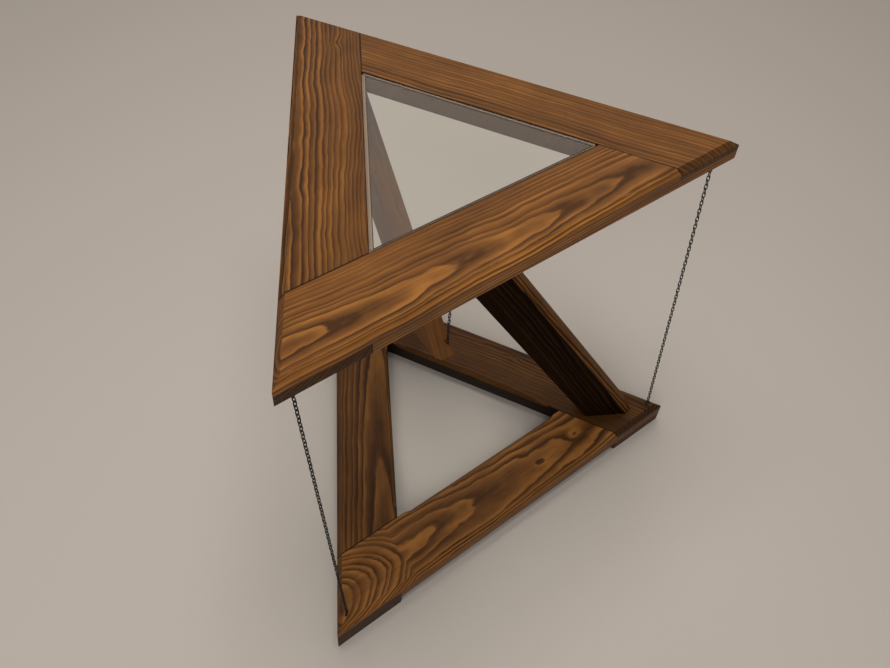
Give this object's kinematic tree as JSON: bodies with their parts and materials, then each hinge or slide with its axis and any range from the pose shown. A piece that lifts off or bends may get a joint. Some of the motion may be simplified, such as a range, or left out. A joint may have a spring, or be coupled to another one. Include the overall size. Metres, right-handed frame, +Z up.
{
  "type": "floating triangular side table",
  "caption": "Side table with two triangular wooden frames held apart by chains, a leaning arm on each frame, and a triangular glass panel in the top.",
  "frame": {"origin": "on the floor, under the middle of the table's outline", "axes": "+Z up; +X towards the base corner that carries the lower arm; +Y towards the back left corner"},
  "size_m": [0.5776, 0.63, 0.62],
  "materials": {
    "stained_board": "satin oil stain over open softwood grain",
    "stained_arm": "satin oil stain, darker on the sawn sides",
    "stained_pad": "satin oil stain",
    "clear_glass": "clear float glass with seamed edges",
    "black_chain": "black coated steel, satin",
    "black_steel_eye": "black coated steel, satin",
    "zinc_screw": "zinc plated",
    "bright_brad": "bright steel wire",
    "batten_wood": "softwood, stained on the inner face and left pale on top under the glass",
    "dowel_wood": "plain turned hardwood"
  },
  "bodies": {
    "base": {"base_front_rail": "stained_board", "base_back_rail": "stained_board", "base_left_rail": "stained_board", "lower_arm": "stained_arm", "lower_arm_eye": "black_steel_eye", "base_lap_screws": "zinc_screw", "lower_arm_screws": "zinc_screw", "foot_pad_front_left": "stained_pad", "base_eye_front_left": "black_steel_eye", "foot_pad_right": "stained_pad", "base_eye_right": "black_steel_eye", "foot_pad_back_left": "stained_pad", "base_eye_back_left": "black_steel_eye", "centre_chain": "black_chain"},
    "top": {"top_front_rail": "stained_board", "top_back_rail": "stained_board", "top_left_rail": "stained_board", "glass_ledge_front": "batten_wood", "glass_ledge_back": "batten_wood", "glass_ledge_left": "batten_wood", "ledge_brads": "bright_brad", "upper_arm": "stained_arm", "upper_arm_eye": "black_steel_eye", "top_lap_screws": "zinc_screw", "upper_arm_dowels": "dowel_wood", "top_eye_front_left": "black_steel_eye", "top_eye_right": "black_steel_eye", "top_eye_back_left": "black_steel_eye"},
    "glass": {"glass_panel": "clear_glass"},
    "chain_front_left": {"chain_front_left": "black_chain"},
    "chain_right": {"chain_right": "black_chain"},
    "chain_back_left": {"chain_back_left": "black_chain"}
  },
  "joints": [
    {"name": "top_twist", "type": "hinge", "parent": "base", "child": "top", "pos_m": [-0.08693, -0.006, 0.592], "axis": [0, 0, 1], "range_deg": [-3, 3]},
    {"name": "glass_lift", "type": "slide", "parent": "top", "child": "glass", "axis": [0, 0, 1], "range_m": [0, 0.06]},
    {"name": "chain_swing_front_left", "type": "hinge", "parent": "base", "child": "chain_front_left", "pos_m": [-0.24343, -0.29185, 0.05575], "axis": [0.5505, 0.8348, 0], "range_deg": [-2.2, 2.2]},
    {"name": "chain_swing_right", "type": "hinge", "parent": "base", "child": "chain_right", "pos_m": [0.26207, 0, 0.05575], "axis": [-0.9998, -0.0189, 0], "range_deg": [-2.2, 2.2]},
    {"name": "chain_swing_back_left", "type": "hinge", "parent": "base", "child": "chain_back_left", "pos_m": [-0.24343, 0.29185, 0.05575], "axis": [0.5348, -0.845, 0], "range_deg": [-2.2, 2.2]}
  ],
  "couplings": [
    {"joint": "chain_swing_front_left", "follows": "top_twist", "ratio": 0.64697},
    {"joint": "chain_swing_right", "follows": "top_twist", "ratio": 0.59907},
    {"joint": "chain_swing_back_left", "follows": "top_twist", "ratio": 0.66601}
  ]
}
